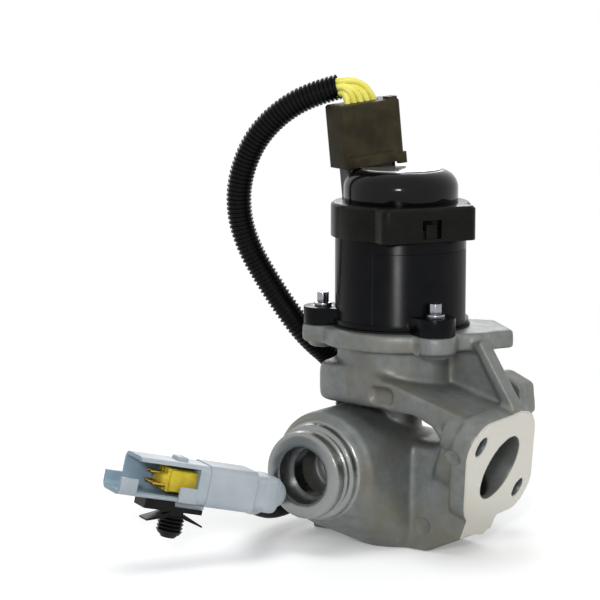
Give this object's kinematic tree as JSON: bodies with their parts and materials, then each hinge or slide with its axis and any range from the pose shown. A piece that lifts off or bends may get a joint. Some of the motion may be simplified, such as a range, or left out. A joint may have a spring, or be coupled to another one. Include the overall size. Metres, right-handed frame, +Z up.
{
  "type": "egr valve",
  "caption": "Solenoid exhaust gas recirculation valve: cast body with round spigot and tilted two-bolt flange, black actuator, wiring harness with end connector.",
  "frame": {"origin": "on the valve stem axis at the flat underside of the casting", "axes": "+Z up the stem towards the actuator cap, -Y along the round spigot, +X towards the bolted flange"},
  "size_m": [0.1428, 0.1732, 0.2049],
  "materials": {
    "cast_aluminium": "as-cast, machined on the faces",
    "stainless": "turned",
    "plated_steel": "zinc plated",
    "soft_iron": "machined",
    "bronze": "turned",
    "seal_rubber": "matt",
    "black_nylon": "moulded",
    "winding_copper": "enamelled",
    "bobbin_nylon": "moulded",
    "foil_disc": "foil",
    "track_board": "board",
    "plunger_nylon": "moulded",
    "brass_contact": "stamped",
    "yellow_wire": "insulation",
    "conduit_black": "corrugated",
    "grey_nylon": "moulded",
    "yellow_nylon": "moulded"
  },
  "bodies": {
    "body": {"actuator_can": "black_nylon", "actuator_gasket": "seal_rubber", "actuator_screws": "plated_steel", "armature_sleeve": "bronze", "cap_disc": "foil_disc", "coil_bobbin": "bobbin_nylon", "coil_winding": "winding_copper", "collar_cover": "black_nylon", "connector_backshell": "grey_nylon", "connector_housing": "grey_nylon", "connector_insert": "yellow_nylon", "connector_pins": "brass_contact", "core_plug": "plated_steel", "cover_latch": "black_nylon", "ear_bushes": "plated_steel", "fir_tree_clip": "black_nylon", "flux_washer": "soft_iron", "harness_conduit": "conduit_black", "harness_wires": "yellow_wire", "plug_housing": "black_nylon", "plug_seal": "seal_rubber", "plug_terminals": "brass_contact", "pole_piece": "soft_iron", "port_liner": "stainless", "sensor_cap": "black_nylon", "sensor_track": "track_board", "stator_shell": "soft_iron", "stem_guide": "bronze", "stem_seal": "seal_rubber", "stem_shield": "stainless", "terminal_pins": "brass_contact", "valve_housing": "cast_aluminium", "valve_seat": "stainless"},
    "valve": {"valve_poppet": "stainless", "armature": "soft_iron", "armature_nut": "plated_steel", "spring_retainer": "stainless", "return_spring": "stainless"},
    "sensor": {"sensor_plunger": "plunger_nylon", "wiper_contacts": "brass_contact", "sensor_spring": "stainless"}
  },
  "joints": [
    {"name": "valve_lift", "type": "slide", "parent": "body", "child": "valve", "axis": [0, 0, -1], "range_m": [0, 0.006], "stiffness_N_per_m": 1500, "springref_m": -0.004, "deforming": ["return_spring"]},
    {"name": "sensor_follow", "type": "slide", "parent": "body", "child": "sensor", "axis": [0, 0, -1], "range_m": [0, 0.006], "deforming": ["sensor_spring"]}
  ],
  "couplings": [
    {"joint": "sensor_follow", "follows": "valve_lift", "ratio": 1}
  ]
}
